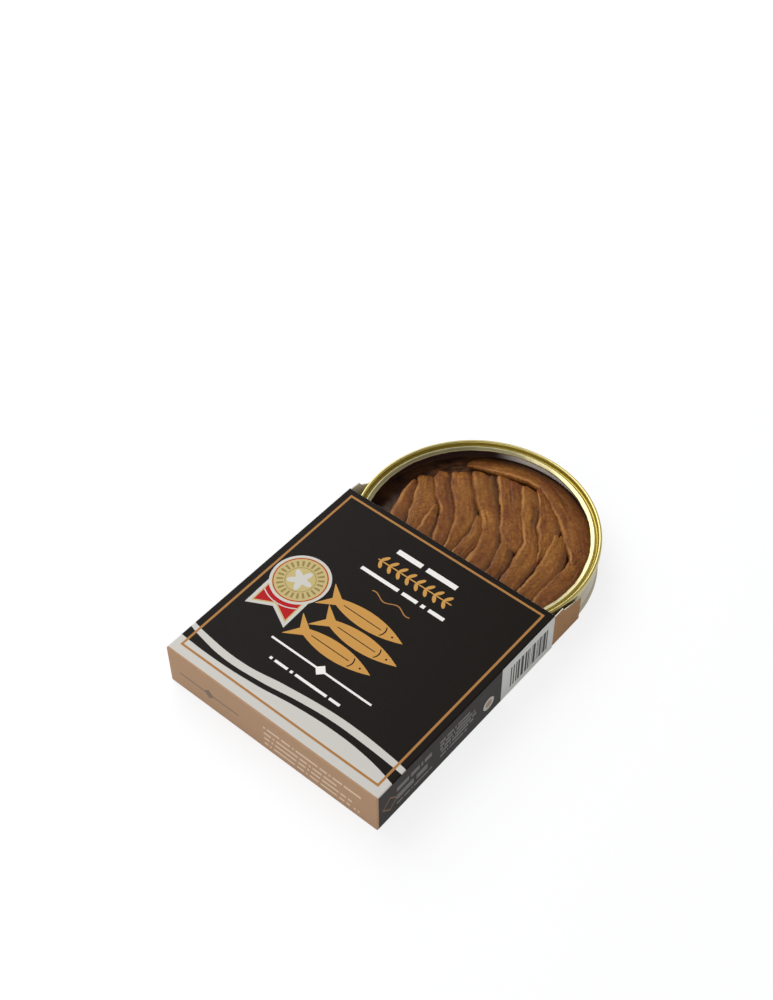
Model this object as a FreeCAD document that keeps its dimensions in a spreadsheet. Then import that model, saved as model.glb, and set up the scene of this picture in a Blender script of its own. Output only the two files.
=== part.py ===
import FreeCAD, Part

import math
import os

import Sketcher

# An opened round tin of anchovy fillets, half slid out of its own paperboard sleeve.
# Millimetres. +Z is up, +Y points out of the sleeve's mouth, and the origin is the middle
# of the whole object's footprint, on the surface it stands on.

SIZES = {
    # sleeve
    "board": 0.45,
    "side_clearance": 1.0,
    "end_clearance": 4.05,
    "top_clearance": 1.95,
    "fold_round": 0.6,
    # dust flaps at the mouth
    "crease_gap": 0.1,
    "flap_length": 17.8,
    "flap_foot": 1.5,
    "flap_top_gap": 1.0,
    "flap_shoulder": 5.2,
    "flap_notch": 1.0,
    "flap_notch_drop": 1.9,
    "right_flap_taper": 3.4,
    "left_flap_taper": 7.0,
    "left_flap_clearance": 0.35,
    # tin
    "seam_radius": 51.2,
    "tin_height": 18.05,
    "sheet": 0.3,
    "seam_overhang": 0.8,
    "seam_depth": 2.8,
    "seam_round": 0.55,
    "seam_play": 0.05,
    "foot_width": 3.2,
    "foot_bead": 0.55,
    "foot_depth": 1.5,
    "panel_rise": 0.8,
    "groove_width": 0.9,
    "groove_depth": 2.9,
    "lip_width": 2.25,
    "lip_drop": 1.1,
    "lip_hem": 0.5,
    # where the tin stands
    "pulled_out": 17.3,
    "tin_offset": 0.64,
    # contents, measured up from the tin's foot
    "oil_level": 8.8,
    "fillet_crest": 11.7,
    "fillet_skirt": 10.3,
    "wall_gap": 1.6,
    "fillet_gap": 0.3,
    "fillet_lean": 1.1,
    "fillet_tip": 1.6,
    "fillet_station": 3.0,
    "rim_fillet_width": 11.7,
    "oil_margin": 7.6,
    "sweep_radius": 95.0,
    "sweep_start": 32.0,
    "weave_start": 9.0,
    "weave_length": 13.0,
}

# Shares of the bed's width that the front row's fillets take, from the far wall to the
# near one, and where the first begins, as shares of the bed's radius.
FRONT_SHARES = (6.5, 9.0, 10.5, 10.0, 12.5, 9.5, 9.5, 7.5)
FRONT_FIRST_EDGE = -0.73
FRONT_LAST_EDGE = 0.82
BACK_FIRST_EDGE = -0.86

# Start and end angles of the fillets that lie along the wall, from +Y towards +X.
RIM_ARCS = ((-44.0, 2.0), (5.0, 80.0), (84.0, 140.0))

# How finely a fillet's ends are looked for, and how many cuts one along the wall has.
FINE_STEP = 0.1
RIM_STATIONS = 9

# A fillet's back, as shares of its width and of its height, from the side that the next
# one covers to the side that lies on its neighbour.
SKIRT_SHARE = 0.6
SHOULDER_SHARE = 0.62
CROWN = ((0.82, 0.57), (0.5, 0.92), (0.24, 1.0), (0.06, 0.9))

# Two places closer than this are the same.
TOUCH = 1e-4

doc = FreeCAD.newDocument("anchovy_tin")
sheet = doc.addObject("Spreadsheet::Sheet", "Sizes")
for row, (alias, number) in enumerate(SIZES.items(), start=1):
    sheet.set("A%d" % row, alias)
    sheet.set("B%d" % row, str(number))
    sheet.setAlias("B%d" % row, alias)
doc.recompute()


def size(alias):
    """The sheet's value for one named size."""
    return float(sheet.get(alias))


def cells(expression):
    """Write out an expression so that each size in it names its cell."""
    words = []
    for word in expression.split():
        words.append("Sizes." + word if word in SIZES else word)
    return " ".join(words)


def value(expression):
    """Work out an expression over the sheet's sizes."""
    return float(sheet.evalExpression(cells(expression)))


# Sizes that follow from the sheet's.
INNER_WIDTH = "( 2 * seam_radius + 2 * side_clearance )"
CARTON_WIDTH = "( " + INNER_WIDTH + " + 2 * board )"
CARTON_DEPTH = "( 2 * seam_radius + end_clearance + board )"
INNER_HEIGHT = "( tin_height + top_clearance )"
CARTON_HEIGHT = "( " + INNER_HEIGHT + " + 2 * board )"
CLOSED_END = "( 0 - ( " + CARTON_DEPTH + " + pulled_out + seam_radius ) / 2 )"
MOUTH = "( " + CLOSED_END + " + " + CARTON_DEPTH + " )"
TIN_CENTRE = "( " + MOUTH + " + pulled_out )"
WALL_OUTSIDE = "( seam_radius - seam_overhang )"
WALL_INSIDE = "( " + WALL_OUTSIDE + " - sheet )"
WALL_TOP = "( tin_height - sheet - seam_play )"
FLOOR = "( panel_rise + sheet )"
FOOT_INSIDE = "( " + WALL_OUTSIDE + " - foot_width )"
SEAM_FOOT = "( tin_height - seam_depth )"
CHUCK_WALL = "( " + WALL_INSIDE + " - seam_play - sheet )"
GROOVE_INSIDE = "( " + CHUCK_WALL + " - groove_width )"
GROOVE_FLOOR = "( tin_height - groove_depth )"
LIP_INSIDE = "( " + GROOVE_INSIDE + " - lip_width )"
LIP_TOP = "( tin_height - lip_drop )"


def new_body(label, place):
    """A PartDesign body whose placement follows the sheet."""
    body = doc.addObject("PartDesign::Body", label)
    body.Label = label
    for axis, expression in zip("xyz", place):
        body.setExpression("Placement.Base." + axis, cells(expression))
    return body


def plane(body, role):
    """One of the body's own origin planes."""
    for feature in body.Origin.OriginFeatures:
        if feature.Role == role:
            return feature
    raise ValueError("no origin plane " + role)


def outline(body, name, role, corners):
    """A closed sketch through corners, each coordinate tied to an expression."""
    sketch = body.newObject("Sketcher::SketchObject", name)
    sketch.AttachmentSupport = [(plane(body, role), "")]
    sketch.MapMode = "FlatFace"
    points = [FreeCAD.Vector(value(across), value(up), 0) for across, up in corners]
    count = len(points)
    for i in range(count):
        sketch.addGeometry(Part.LineSegment(points[i], points[(i + 1) % count]), False)
    for i in range(count):
        sketch.addConstraint(Sketcher.Constraint("Coincident", i, 2, (i + 1) % count, 1))
    for i, corner in enumerate(corners):
        for kind, expression in zip(("DistanceX", "DistanceY"), corner):
            number = value(expression)
            if abs(number) < TOUCH:
                on_axis = -2 if kind == "DistanceX" else -1
                sketch.addConstraint(Sketcher.Constraint("PointOnObject", i, 1, on_axis))
                continue
            place = sketch.addConstraint(Sketcher.Constraint(kind, -1, 1, i, 1, number))
            sketch.setExpression("Constraints[%d]" % place, cells(expression))
    return sketch


def rectangle(left, right, low, high):
    """Corners of an upright rectangle."""
    return [(left, low), (right, low), (right, high), (left, high)]


def rounded(body, feature, radius, chosen):
    """Round the feature's edges that chosen() picks by their middle point."""
    doc.recompute()
    names = []
    for i, edge in enumerate(feature.Shape.Edges, start=1):
        if chosen(edge, edge.valueAt((edge.FirstParameter + edge.LastParameter) / 2)):
            names.append("Edge%d" % i)
    fillet = body.newObject("PartDesign::Fillet", feature.Name + "_round")
    fillet.Base = (feature, names)
    fillet.setExpression("Radius", cells(radius))
    return fillet


def turned(body, name, corners):
    """A solid of revolution about the body's upright axis."""
    profile = outline(body, name + "_profile", "XZ_Plane", corners)
    solid = body.newObject("PartDesign::Revolution", name)
    solid.Profile = profile
    solid.ReferenceAxis = (profile, ["V_Axis"])
    solid.Angle = 360
    return solid


def circle_at(radius, height):
    """Chooses the circular edge with this radius and height."""
    r, z = value(radius), value(height)

    def chosen(edge, middle):
        if not isinstance(edge.Curve, Part.Circle):
            return False
        return abs(edge.Curve.Radius - r) < TOUCH and abs(middle.z - z) < TOUCH

    return chosen


def carton():
    """The sleeve: four walls and a closed end, folded from one sheet of board."""
    body = new_body("carton", ("0", CLOSED_END, "0"))
    half_width = CARTON_WIDTH + " / 2"
    outside = outline(body, "outside", "XZ_Plane",
                      rectangle("0 - " + half_width, half_width, "0", CARTON_HEIGHT))
    block = body.newObject("PartDesign::Pad", "block")
    block.Profile = outside
    block.Reversed = True
    block.setExpression("Length", cells(CARTON_DEPTH))

    def folded(edge, middle):
        """Every edge but those of the mouth."""
        return middle.y < value(CARTON_DEPTH) - TOUCH

    rounded(body, block, "fold_round", folded)

    half_inside = INNER_WIDTH + " / 2"
    inside = outline(body, "inside", "XZ_Plane",
                     rectangle("0 - " + half_inside, half_inside,
                               "board", "board + " + INNER_HEIGHT))
    inside.setExpression("AttachmentOffset.Base.z", cells("0 - board"))
    hollow = body.newObject("PartDesign::Pocket", "hollow")
    hollow.Profile = inside
    hollow.setExpression("Length", cells(CARTON_DEPTH))
    return body


def dust_flap(label, side, taper, lean):
    """A side flap that stands out of the mouth, creased along its upright root."""
    across = side + " * ( " + INNER_WIDTH + " + board ) / 2"
    body = new_body(label, (across, MOUTH + " + crease_gap + board / 2", "0"))
    body.setExpression("Placement.Rotation.Angle", cells(lean))
    top = CARTON_HEIGHT + " - flap_top_gap"
    shoulder_end = "flap_shoulder + flap_notch"
    notch = top + " - flap_notch_drop"
    corners = [("0", "flap_foot"), ("flap_length", "flap_foot"),
               ("flap_length", notch + " - " + taper), (shoulder_end, notch),
               ("flap_shoulder", top), ("0", top)]
    profile = outline(body, label + "_outline", "YZ_Plane", corners)
    blade = body.newObject("PartDesign::Pad", label + "_blade")
    blade.Profile = profile
    blade.Midplane = True
    blade.setExpression("Length", cells("board"))

    root = body.newObject("PartDesign::AdditiveCylinder", label + "_root")
    root.AttachmentSupport = [(plane(body, "XY_Plane"), "")]
    root.MapMode = "FlatFace"
    root.setExpression("AttachmentOffset.Base.z", cells("flap_foot"))
    root.setExpression("Radius", cells("board / 2"))
    root.setExpression("Height", cells(top + " - flap_foot"))
    return body


def can():
    """The drawn tin: a raised bottom panel, a foot bead and an upright wall."""
    body = new_body("can", TIN_PLACE)
    corners = [("0", "panel_rise"), (FOOT_INSIDE, "panel_rise"),
               (FOOT_INSIDE + " + panel_rise", "0"),
               (WALL_OUTSIDE, "0"),
               (WALL_OUTSIDE + " + foot_bead", "foot_depth / 2"),
               (WALL_OUTSIDE, "foot_depth"), (WALL_OUTSIDE, WALL_TOP), (WALL_INSIDE, WALL_TOP),
               (WALL_INSIDE, "sheet"), (FOOT_INSIDE + " + panel_rise", "sheet"),
               (FOOT_INSIDE, FLOOR), ("0", FLOOR)]
    shell = turned(body, "can_shell", corners)
    rounded(body, shell, "foot_bead / 2",
            circle_at(WALL_OUTSIDE + " + foot_bead", "foot_depth / 2"))
    return body


def lid_ring():
    """What the pull-off lid leaves: the double seam, its groove and a narrow lip."""
    body = new_body("lid_ring", TIN_PLACE)
    skirt = WALL_OUTSIDE + " + seam_play"
    hook = WALL_TOP + " + seam_play"
    lip_foot = LIP_TOP + " - sheet - lip_hem"
    corners = [("seam_radius", SEAM_FOOT), ("seam_radius", "tin_height"),
               (CHUCK_WALL, "tin_height"), (CHUCK_WALL, GROOVE_FLOOR),
               (GROOVE_INSIDE, GROOVE_FLOOR), (GROOVE_INSIDE, LIP_TOP),
               (LIP_INSIDE, LIP_TOP), (LIP_INSIDE, lip_foot),
               (LIP_INSIDE + " + sheet", lip_foot), (LIP_INSIDE + " + sheet", LIP_TOP + " - sheet"),
               (GROOVE_INSIDE + " - sheet", LIP_TOP + " - sheet"),
               (GROOVE_INSIDE + " - sheet", GROOVE_FLOOR + " - sheet"),
               (CHUCK_WALL + " + sheet", GROOVE_FLOOR + " - sheet"),
               (CHUCK_WALL + " + sheet", hook), (skirt, hook), (skirt, SEAM_FOOT)]
    ring = turned(body, "ring", corners)
    outer = rounded(body, ring, "seam_round", circle_at("seam_radius", "tin_height"))
    inner = rounded(body, outer, "seam_round", circle_at(CHUCK_WALL, "tin_height"))
    lip = rounded(body, inner, "sheet", circle_at(LIP_INSIDE, LIP_TOP))
    rounded(body, lip, "sheet", circle_at(GROOVE_INSIDE, LIP_TOP))
    return body


def oil():
    """Oil and packed fish up to the oil's level, which the top fillets lie on."""
    body = new_body("oil", TIN_PLACE)
    side = WALL_INSIDE + " - seam_play"
    corners = [("0", FLOOR), (FOOT_INSIDE, FLOOR),
               (FOOT_INSIDE + " + panel_rise", "sheet"), (side, "sheet"),
               (side, "oil_level"), ("0", "oil_level")]
    turned(body, "oil_fill", corners)
    return body


def cross_section(left, right, full):
    """A fillet's domed cut, leaning over its neighbour, between two points in plan."""
    level = size("oil_level")
    crest = size("fillet_crest") - level
    rise = crest * full
    skirt = (size("fillet_skirt") - level) * full
    across = (right - left).normalize()

    def point(share, up):
        """Share of the way from left to right at a height above the oil's level."""
        slide = size("fillet_lean") * (1.0 - up / crest)
        where = left + (right - left) * share + across * slide
        return FreeCAD.Vector(where.x, where.y, level + up)

    foot_left, foot_right = point(0.0, 0.0), point(1.0, 0.0)
    skirt_top, shoulder = point(1.0, skirt * SKIRT_SHARE), point(0.0, rise * SHOULDER_SHARE)
    crown = Part.BSplineCurve()
    crown.interpolate([skirt_top] + [point(share, rise * up) for share, up in CROWN] + [shoulder])
    edges = [Part.LineSegment(foot_left, foot_right).toShape(),
             Part.LineSegment(foot_right, skirt_top).toShape(),
             crown.toShape(),
             Part.LineSegment(shoulder, foot_left).toShape()]
    return Part.Wire(edges)


def fillet_solid(label, sections):
    """Join the cuts along a fillet into one solid and stand it in the tin."""
    solid = doc.addObject("Part::Feature", label)
    solid.Label = label
    solid.Shape = Part.makeLoft(sections, True, False)
    solid.Placement = FreeCAD.Placement(
        FreeCAD.Vector(*[value(expression) for expression in TIN_PLACE]), FreeCAD.Rotation())
    return solid


def ease(share):
    """A smooth step from 0 to 1."""
    share = min(max(share, 0.0), 1.0)
    return share * share * (3.0 - 2.0 * share)


def sweep(out):
    """How far the rows bend towards the far wall, at a distance along the tin."""
    radius = size("sweep_radius")
    ahead = out + size("sweep_start")
    return radius - math.sqrt(radius * radius - ahead * ahead)


def front_edges(bed):
    """Edges of the front row's fillets, on the line where the rows run straight out."""
    span = (FRONT_LAST_EDGE - FRONT_FIRST_EDGE) * bed
    edges = [FRONT_FIRST_EDGE * bed]
    for share in FRONT_SHARES:
        edges.append(edges[-1] + span * share / sum(FRONT_SHARES))
    return edges


def woven(out):
    """0 where only the back row lies, 1 where only the front row lies."""
    start = 0.0 - size("weave_start")
    return ease((out - start) / size("weave_length"))


def row_fillet(label, low_edge, high_edge, radius, first, last):
    """A fillet between two edges that are functions of the way out, kept inside a circle."""
    half_gap = size("fillet_gap") / 2
    lean = size("fillet_lean")

    def span(out):
        """The two sides at a distance out, clipped to the circle."""
        half_chord = math.sqrt(max(radius * radius - out * out, 0.0))
        low = max(low_edge(out) + half_gap, half_gap - half_chord)
        high = min(high_edge(out) - half_gap, half_chord - half_gap - lean)
        return low, high

    def width(out):
        low, high = span(out)
        return high - low

    steps = round((last - first) / FINE_STEP)
    places = [first + (last - first) * i / steps for i in range(steps + 1)]
    wide = [out for out in places if width(out) >= size("fillet_tip")]
    widest = max(map(width, wide))
    # Neighbours are cut at the same places, so that their sides run along each other.
    pitch = size("fillet_station")
    nose = pitch / 3
    first_cut = math.ceil((wide[0] + nose) / pitch + 0.3)
    last_cut = math.floor((wide[-1] - nose) / pitch - 0.3)
    cuts = [wide[0], wide[0] + nose]
    cuts += [pitch * i for i in range(first_cut, last_cut + 1)]
    cuts += [wide[-1] - nose, wide[-1]]
    sections = []
    for out in cuts:
        low, high = span(out)
        full = 0.6 + 0.4 * ease(width(out) / widest * 1.6)
        left, right = FreeCAD.Vector(low, out, 0), FreeCAD.Vector(high, out, 0)
        sections.append(cross_section(left, right, full))
    return fillet_solid(label, sections)


def rim_fillet(label, first, last, inside, outside):
    """A fillet that lies along the wall between two angles."""
    half_gap = size("fillet_gap") / 2
    sections = []
    for i in range(RIM_STATIONS):
        share = i / (RIM_STATIONS - 1)
        angle = math.radians(first + (last - first) * share)
        full = ease(math.sin(math.pi * (0.08 + 0.84 * share)) * 1.3)
        middle = inside + (outside - inside) * 0.55
        ray = FreeCAD.Vector(math.sin(angle), math.cos(angle), 0)
        near = middle + (inside + half_gap - middle) * full
        far = middle + (outside - size("fillet_lean") - middle) * full
        sections.append(cross_section(ray * near, ray * far, 0.6 + 0.4 * full))
    return fillet_solid(label, sections)


def fillets():
    """The top layer: a front row, a back row woven into it, and three along the wall."""
    bed = value(WALL_INSIDE) - size("wall_gap")
    row_radius = bed - size("rim_fillet_width")
    edges = front_edges(bed)
    middles = [(low + high) / 2 for low, high in zip(edges, edges[1:])]

    for i, (low, high) in enumerate(zip(edges, edges[1:])):
        middle = middles[i]

        def low_edge(out, low=low, middle=middle):
            return middle + (low - middle) * woven(out) - sweep(out)

        def high_edge(out, high=high, middle=middle):
            return middle + (high - middle) * woven(out) - sweep(out)

        # The first three stop short of bare oil, the others at the fillets along the wall.
        end = bed - size("oil_margin") if i < 3 else row_radius
        row_fillet("fillet_front_%d" % (i + 1), low_edge, high_edge, end,
                   0.0 - size("weave_start"), end)

    bounds = [BACK_FIRST_EDGE * bed] + middles
    for i, (low, high) in enumerate(zip(bounds, bounds[1:])):
        middle = edges[i]

        def low_edge(out, low=low, middle=middle):
            return middle + (low - middle) * (1.0 - woven(out)) - sweep(out)

        def high_edge(out, high=high, middle=middle):
            return middle + (high - middle) * (1.0 - woven(out)) - sweep(out)

        near_wall = middle > 0.35 * bed
        row_fillet("fillet_back_%d" % (i + 1), low_edge, high_edge,
                   row_radius if near_wall else bed,
                   0.0 - bed, size("weave_length") - size("weave_start"))

    for i, (first, last) in enumerate(RIM_ARCS):
        rim_fillet("fillet_rim_%d" % (i + 1), first, last, row_radius, bed)


def left_lean():
    """Angle at which the left flap leans in until it is just clear of the seam."""
    root_to_centre = "( ( " + INNER_WIDTH + " + board ) / 2 + tin_offset )"
    ahead = "( pulled_out - crease_gap - board / 2 )"
    distance = "sqrt( " + root_to_centre + " ^ 2 + " + ahead + " ^ 2 )"
    reach = "( seam_radius + left_flap_clearance + board / 2 )"
    return ("atan( " + ahead + " / " + root_to_centre + " )"
            " + asin( " + reach + " / " + distance + " ) - 90 deg")


TIN_PLACE = ("tin_offset", TIN_CENTRE, "board")

carton()
dust_flap("right_flap", "1", "right_flap_taper", "0")
dust_flap("left_flap", "-1", "left_flap_taper", left_lean())
can()
lid_ring()
oil()
fillets()
doc.recompute()

faults = []
for thing in doc.Objects:
    if "Invalid" in thing.State or "Error" in thing.State:
        faults.append(thing.Label)
pieces = [thing for thing in doc.Objects
          if thing.isDerivedFrom("PartDesign::Body") or thing.TypeId == "Part::Feature"]
for piece in pieces:
    if piece.Shape.isNull() or not piece.Shape.isValid() or len(piece.Shape.Solids) != 1:
        faults.append(piece.Label)
if faults:
    raise RuntimeError("not sound: " + ", ".join(faults))

os.makedirs("parts", exist_ok=True)
for piece in pieces:
    piece.Shape.exportStep("parts/%s.step" % piece.Label)
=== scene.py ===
import math

import bpy
import numpy as np
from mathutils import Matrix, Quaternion, Vector, noise


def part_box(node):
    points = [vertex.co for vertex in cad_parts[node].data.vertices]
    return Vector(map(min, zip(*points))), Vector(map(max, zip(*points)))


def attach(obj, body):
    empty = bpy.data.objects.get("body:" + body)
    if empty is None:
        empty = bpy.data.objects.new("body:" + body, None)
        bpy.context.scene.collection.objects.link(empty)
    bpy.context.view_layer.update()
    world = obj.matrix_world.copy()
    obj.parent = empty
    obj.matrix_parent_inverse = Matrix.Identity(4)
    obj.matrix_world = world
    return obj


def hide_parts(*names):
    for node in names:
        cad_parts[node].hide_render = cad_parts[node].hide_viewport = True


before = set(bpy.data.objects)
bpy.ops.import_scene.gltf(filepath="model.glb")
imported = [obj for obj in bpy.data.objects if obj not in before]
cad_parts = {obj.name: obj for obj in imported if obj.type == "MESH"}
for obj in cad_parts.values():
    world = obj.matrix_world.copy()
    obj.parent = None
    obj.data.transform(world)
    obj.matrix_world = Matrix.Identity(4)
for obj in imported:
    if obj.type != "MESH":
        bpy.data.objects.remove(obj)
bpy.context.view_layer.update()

# An opened tin of anchovies, half out of its paperboard sleeve. Lengths are written in
# millimetres and turned into metres where a mesh is made.
MM = 0.001

# Places and sizes read from the frame.
SLEEVE_LOW, SLEEVE_HIGH = [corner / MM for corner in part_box("carton")]
RING_LOW, RING_HIGH = [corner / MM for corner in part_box("lid_ring")]
CAN_LOW, CAN_HIGH = [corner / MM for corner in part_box("can")]
LEFT_FLAP_LOW, LEFT_FLAP_HIGH = [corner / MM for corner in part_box("left_flap")]
TIN = (RING_LOW + RING_HIGH) / 2
TIN.z = CAN_LOW.z
SEAM_RADIUS = (RING_HIGH.x - RING_LOW.x) / 2
SEAM_TOP = RING_HIGH.z - TIN.z
SEAM_FOOT = RING_LOW.z - TIN.z
OIL_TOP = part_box("oil")[1].z / MM - TIN.z
FISH_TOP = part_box("fillet_front_3")[1].z / MM - TIN.z
BOARD = TIN.z - SLEEVE_LOW.z

# The fillets stay within this radius, clear of the can's wall.
BED_RADIUS = 48.3


# ---------------------------------------------------------------- materials

class Value:
    """A value in a material, so that sums are written as Python writes them."""

    def __init__(self, finish, node, output=0):
        self.finish = finish
        self.node = node
        self.socket = node.outputs[output] if node.outputs else None

    def math(self, operation, *others):
        return self.finish.add("ShaderNodeMath", {"operation": operation}, [self, *others])

    def turned_math(self, operation, other):
        return self.finish.add("ShaderNodeMath", {"operation": operation}, [other, self])

    def __add__(self, other):
        return self.math("ADD", other)

    def __sub__(self, other):
        return self.math("SUBTRACT", other)

    def __mul__(self, other):
        return self.math("MULTIPLY", other)

    def __truediv__(self, other):
        return self.math("DIVIDE", other)

    def __pow__(self, other):
        return self.math("POWER", other)

    def __gt__(self, other):
        return self.math("GREATER_THAN", other)

    def __lt__(self, other):
        return self.math("LESS_THAN", other)

    def __neg__(self):
        return self.math("MULTIPLY", -1.0)

    def __abs__(self):
        return self.math("ABSOLUTE")

    def __radd__(self, other):
        return self.turned_math("ADD", other)

    def __rsub__(self, other):
        return self.turned_math("SUBTRACT", other)

    def __rmul__(self, other):
        return self.turned_math("MULTIPLY", other)

    def between(self, low, high):
        """1 where the value lies between two others."""
        return (self > low) * (self < high)

    def soft(self, start, end):
        """A smooth step from 0 at the start to 1 at the end."""
        return self.finish.add("ShaderNodeMapRange", {"interpolation_type": "SMOOTHSTEP"},
                               {"Value": self, "From Min": start, "From Max": end})


class Finish:
    """A material built from nodes."""

    # A Mix node's sockets for colours, which share their names with those for numbers.
    MIX_SHARE, MIX_FIRST, MIX_SECOND, MIX_RESULT = 0, 6, 7, 2

    def __init__(self, name):
        self.material = bpy.data.materials.new(name)
        self.material.use_nodes = True
        self.tree = self.material.node_tree
        self.tree.nodes.clear()

    @classmethod
    def of_tree(cls, tree):
        """The same way of writing nodes, for a tree that is no material's."""
        finish = cls.__new__(cls)
        finish.tree = tree
        tree.nodes.clear()
        return finish

    def add(self, kind, settings=None, inputs=(), output=0):
        """Add one node: its settings first, then the values or links of its sockets."""
        node = self.tree.nodes.new(kind)
        for key, setting in (settings or {}).items():
            if key == "stops":
                self.set_stops(node.color_ramp, setting)
            elif key == "curve":
                self.set_curve(node, setting)
            else:
                setattr(node, key, setting)
        pairs = inputs.items() if isinstance(inputs, dict) else enumerate(inputs)
        for key, given in pairs:
            if isinstance(given, Value):
                self.tree.links.new(given.socket, node.inputs[key])
            else:
                node.inputs[key].default_value = given
        return Value(self, node, output)

    @staticmethod
    def set_stops(ramp, stops):
        while len(ramp.elements) < len(stops):
            ramp.elements.new(1.0)
        for element, (place, colour) in zip(ramp.elements, stops):
            element.position = place
            element.color = colour

    @staticmethod
    def set_curve(node, points):
        curve = node.mapping.curves[0]
        while len(curve.points) < len(points):
            curve.points.new(0.5, 0.5)
        for point, place in zip(curve.points, points):
            point.location = place
        node.mapping.update()

    def place(self):
        """The place on the surface in millimetres: as a vector, and its x, y and z."""
        where = self.add("ShaderNodeTexCoord", output="Object")
        scaled = self.add("ShaderNodeVectorMath", {"operation": "SCALE"},
                          {0: where, "Scale": 1 / MM})
        x = self.add("ShaderNodeSeparateXYZ", None, [scaled])
        return scaled, x, Value(self, x.node, "Y"), Value(self, x.node, "Z")

    def laid(self):
        """Millimetres along a piece, and across it, from its own map."""
        where = self.add("ShaderNodeUVMap")
        along = self.add("ShaderNodeSeparateXYZ", None, [where])
        return along / MM, Value(self, along.node, "Y") / MM

    def joined(self, x, y, z):
        """A vector from its three values."""
        return self.add("ShaderNodeCombineXYZ", None, [x, y, z])

    def noise(self, where, scale, detail=2.0, roughness=0.5):
        """Cloudy noise, from 0 to 1. The scale is in clouds a millimetre."""
        return self.add("ShaderNodeTexNoise", {"noise_dimensions": "3D"},
                        {"Vector": where, "Scale": scale, "Detail": detail,
                         "Roughness": roughness})

    def chance(self, number):
        """A fixed chance value, from 0 to 1, for each whole number."""
        return self.add("ShaderNodeTexWhiteNoise", {"noise_dimensions": "1D"}, {"W": number})

    def painted(self, name):
        """A value that a piece's mesh carries at its points."""
        return self.add("ShaderNodeAttribute", {"attribute_name": name}, output="Fac")

    def ramp(self, value, *stops):
        """A colour for each value, from stops of a value and its colour."""
        return self.add("ShaderNodeValToRGB", {"stops": stops}, [value])

    def curve(self, value, points):
        """The height, at a value, of a smooth line through points."""
        return self.add("ShaderNodeFloatCurve", {"curve": points}, {"Value": value})

    def mix(self, share, first, second):
        """Lay the second colour over the first."""
        return self.add("ShaderNodeMix", {"data_type": "RGBA"},
                        {self.MIX_SHARE: share, self.MIX_FIRST: first,
                         self.MIX_SECOND: second}, output=self.MIX_RESULT)

    def bump(self, height, depth):
        """Relief of a given depth in millimetres."""
        return self.add("ShaderNodeBump", None,
                        {"Height": height, "Distance": depth * MM, "Strength": 1.0})

    def surface(self, colour, roughness, **others):
        """The finished surface. Others are the shader's sockets, by name."""
        inputs = {"Base Color": colour, "Roughness": roughness}
        for name, given in others.items():
            inputs[name.replace("_", " ").title().replace("Ior", "IOR")] = given
        shader = self.add("ShaderNodeBsdfPrincipled", None, inputs)
        self.add("ShaderNodeOutputMaterial", None, {"Surface": shader})
        return self.material


def shade(red, green, blue):
    """A linear colour from three sRGB numbers out of 255."""
    linear = []
    for part in (red, green, blue):
        part /= 255
        linear.append(part / 12.92 if part <= 0.04045 else ((part + 0.055) / 1.055) ** 2.4)
    return (*linear, 1.0)


BLACK_INK = shade(19, 15, 12)
CHARCOAL_INK = shade(36, 33, 31)
COPPER_INK = shade(180, 146, 116)
COPPER_LINE = shade(174, 124, 70)
DULL_COPPER = shade(128, 98, 74)
DULL_RULE = shade(132, 112, 96)
GOLD_INK = shade(202, 150, 78)
WHITE_INK = shade(206, 203, 197)
BRIGHT_INK = shade(240, 238, 233)
PANEL_INK = shade(222, 222, 216)
SEAL_RIM = shade(205, 200, 192)
SEAL_MIDDLE = shade(176, 150, 128)
RED_INK = shade(178, 24, 30)
MEDAL_INK = shade(196, 178, 122)
RAY_INK = shade(150, 128, 78)
GREY_INK = shade(122, 119, 116)
BAR_INK = shade(70, 68, 66)
SMALL_PRINT = shade(224, 198, 170)
RAW_BOARD = shade(178, 168, 154)
CUT_BOARD = shade(228, 224, 216)

# Lines of print: start, end, lower edge, upper edge, length of a letter, and seed.
TOP_LINES = ((-19.0, 17.0, 21.3, 22.5, 1.3, 11),
             (-21.0, 20.5, 76.8, 78.5, 1.9, 23),
             (-15.0, 15.0, 92.0, 94.4, 2.5, 41))
WALL_LINES = ((11.0, 31.0, 12.8, 15.2, 1.0, 5), (11.0, 29.0, 7.6, 10.6, 1.6, 6),
              (11.0, 31.0, 4.4, 5.6, 0.7, 7), (36.0, 54.0, 14.4, 15.8, 0.8, 8),
              (36.0, 57.0, 12.2, 13.6, 0.8, 9), (36.0, 57.5, 10.0, 11.4, 0.8, 10),
              (36.0, 56.0, 7.8, 9.2, 0.8, 12), (36.0, 52.0, 5.4, 6.6, 0.7, 13))
END_LINES = ((50.0, 98.4, 13.6, 14.8, 0.9, 3), (50.0, 86.0, 10.0, 11.2, 0.9, 14),
             (50.0, 94.5, 6.7, 7.9, 0.9, 15), (50.0, 97.0, 3.3, 4.5, 0.9, 16))
# Share of a line's letters that are left bare, as the gaps between its words.
BARE_LETTERS = 0.17
RULE_HALF = 0.45

# The pale end of the top print and the stripe beside it. Each edge is given by places across
# the top, as shares of its width, and by how far it reaches there, as shares of the reach.
WAVE_REACH = 20.0
PALE_EDGE = ((0, 0.415), (0.16, 0.39), (0.35, 0.44), (0.54, 0.565), (0.68, 0.61),
             (0.83, 0.585), (1, 0.425))
STRIPE_NEAR = ((0, 0.675), (0.07, 0.59), (0.2, 0.508), (0.35, 0.55), (0.54, 0.69),
               (0.68, 0.75), (0.83, 0.74), (1, 0.69))
STRIPE_FAR = ((0, 0.79), (0.07, 0.725), (0.25, 0.665), (0.45, 0.80), (0.64, 0.90),
              (0.75, 0.915), (0.92, 0.865), (1, 0.815))


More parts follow.
